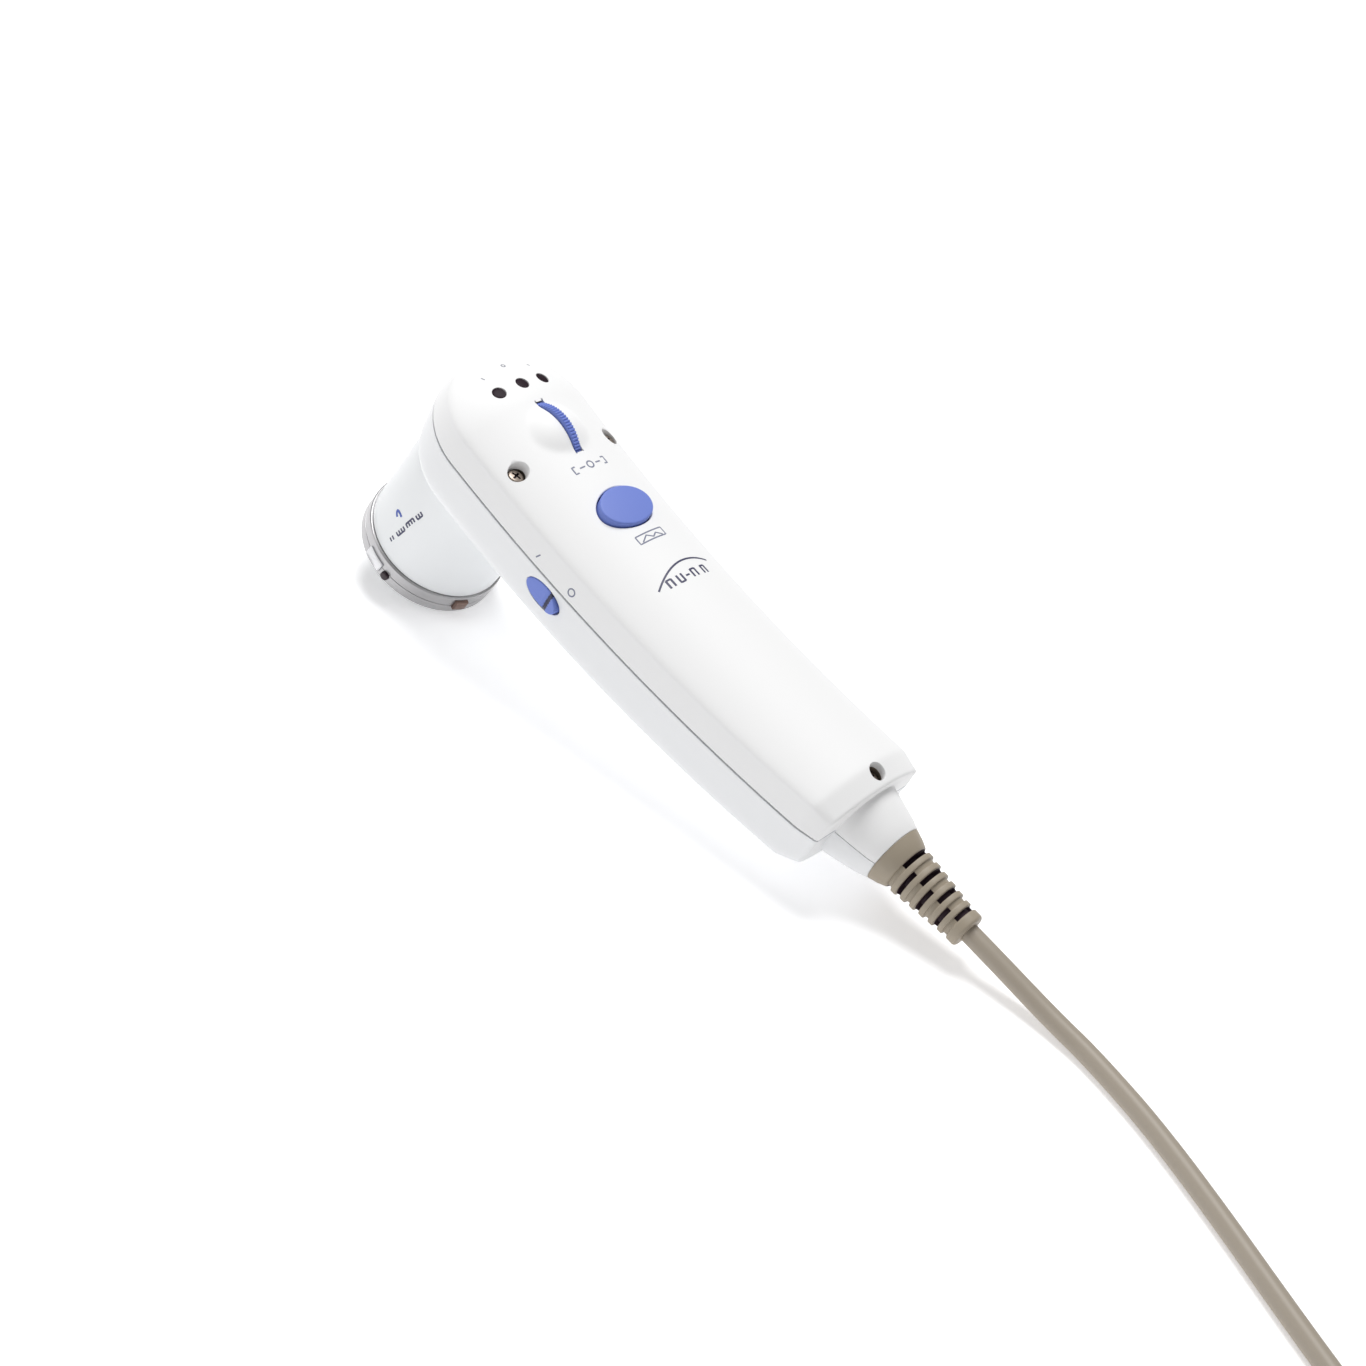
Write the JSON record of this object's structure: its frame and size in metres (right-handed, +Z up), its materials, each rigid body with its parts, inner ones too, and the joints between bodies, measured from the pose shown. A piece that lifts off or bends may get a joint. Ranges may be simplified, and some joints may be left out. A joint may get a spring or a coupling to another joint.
{
  "type": "handheld skin inspection camera",
  "caption": "Handheld skin inspection camera with a lens barrel under a rounded head, a focus wheel, an image button, a power rocker and a coiled cable",
  "frame": {"origin": "on the table under the middle of the standing device, measured without the free cable", "axes": "+X along the device from the head to the cable, +Y across it away from the power switch, +Z up; the body is tipped tail down by 17.4 degrees, as it stands on its ring and cable"},
  "size_m": [0.4281, 0.0887, 0.071],
  "materials": {
    "shell_white": "satin moulded",
    "rear_white": "satin moulded",
    "sleeve_white": "satin moulded",
    "seal_rubber": "matt",
    "ring_metal": "satin turned",
    "index_white": "satin",
    "pin_dark": "satin",
    "clip_brown": "matt",
    "window_glass": "clear",
    "board_green": "solder mask",
    "led_resin": "clear moulded",
    "cell_black": "matt",
    "lens_glass": "coated",
    "gear_nylon": "matt nylon",
    "rod_steel": "ground",
    "frame_black": "matt",
    "chip_black": "matt",
    "filter_blue": "coated",
    "control_blue": "satin moulded",
    "window_dark": "gloss",
    "indicator_resin": "clear moulded",
    "screw_steel": "plated",
    "screw_bronze": "plated, brownish",
    "wire_red": "pvc",
    "cable_beige": "satin pvc",
    "relief_beige": "satin pvc",
    "tie_black": "matt",
    "plug_steel": "nickel plated",
    "tongue_white": "matt"
  },
  "bodies": {
    "housing": {"top_cover": "shell_white", "rear_cover": "rear_white", "barrel_sleeve": "sleeve_white", "barrel_seal": "seal_rubber", "front_window": "window_glass", "led_board": "board_green", "white_leds": "led_resin", "guide_rods": "rod_steel", "optics_frame": "frame_black", "sensor_board": "board_green", "image_sensor": "chip_black", "filter_glass": "filter_blue", "idler_pin": "rod_steel", "button_switch": "chip_black", "rocker_switch": "chip_black", "led_windows": "window_dark", "indicator_leds": "indicator_resin", "main_board": "board_green", "board_chips": "chip_black", "board_screws": "screw_steel", "cover_screws": "screw_bronze", "tail_screw": "screw_bronze", "harness_plug": "index_white", "inner_wires": "wire_red", "inner_cable": "cable_beige", "cable_clamp": "index_white", "clamp_screws": "screw_steel", "strain_relief": "relief_beige", "cable_tube": "cable_beige", "cable_lead": "cable_beige", "cable_coil": "cable_beige", "coil_tie": "tie_black", "plug_body": "cable_beige", "plug_shell": "plug_steel", "plug_tongue": "tongue_white"},
    "focus_control": {"focus_wheel": "control_blue", "focus_axle": "rod_steel", "wheel_gear": "gear_nylon"},
    "idler": {"idler_gear": "gear_nylon"},
    "lens_carriage": {"lens_cell": "cell_black", "objective_lens": "lens_glass", "focus_rack": "gear_nylon"},
    "image_key": {"image_button": "control_blue", "switch_plunger": "chip_black"},
    "power_key": {"power_rocker": "control_blue"},
    "locking_ring": {"front_ring": "ring_metal", "ring_index": "index_white", "ring_clip": "clip_brown"},
    "release_pin": {"ring_pin": "pin_dark"}
  },
  "joints": [
    {"name": "focus_turn", "type": "hinge", "parent": "housing", "child": "focus_control", "pos_m": [-0.05086, 0, 0.05861], "axis": [0, 1, 0], "range_deg": [-45, 45]},
    {"name": "idler_turn", "type": "hinge", "parent": "housing", "child": "idler", "pos_m": [-0.05418, -0.0092, 0.05149], "axis": [0, 1, 0], "range_deg": [-29, 29]},
    {"name": "lens_slide", "type": "slide", "parent": "housing", "child": "lens_carriage", "axis": [-0.422, 0, -0.9066], "range_m": [-0.0024, 0.0024]},
    {"name": "image_press", "type": "slide", "parent": "housing", "child": "image_key", "axis": [-0.299, 0, -0.9542], "range_m": [0, 0.0008], "stiffness_N_per_m": 300},
    {"name": "power_tilt", "type": "hinge", "parent": "housing", "child": "power_key", "pos_m": [-0.0256, -0.0183, 0.03623], "axis": [0.299, 0, 0.9542], "range_deg": [0, 10]},
    {"name": "ring_turn", "type": "hinge", "parent": "housing", "child": "locking_ring", "pos_m": [-0.08116, 0, 0.0111], "axis": [-0.422, 0, -0.9066], "range_deg": [0, 18]},
    {"name": "pin_press", "type": "slide", "parent": "locking_ring", "child": "release_pin", "axis": [-0.1418, 0.9877, 0.066], "range_m": [0, 0.0006], "stiffness_N_per_m": 200}
  ],
  "couplings": [
    {"joint": "idler_turn", "follows": "focus_turn", "ratio": -0.625},
    {"joint": "lens_slide", "follows": "focus_turn", "m_per_rad": 0.003}
  ]
}
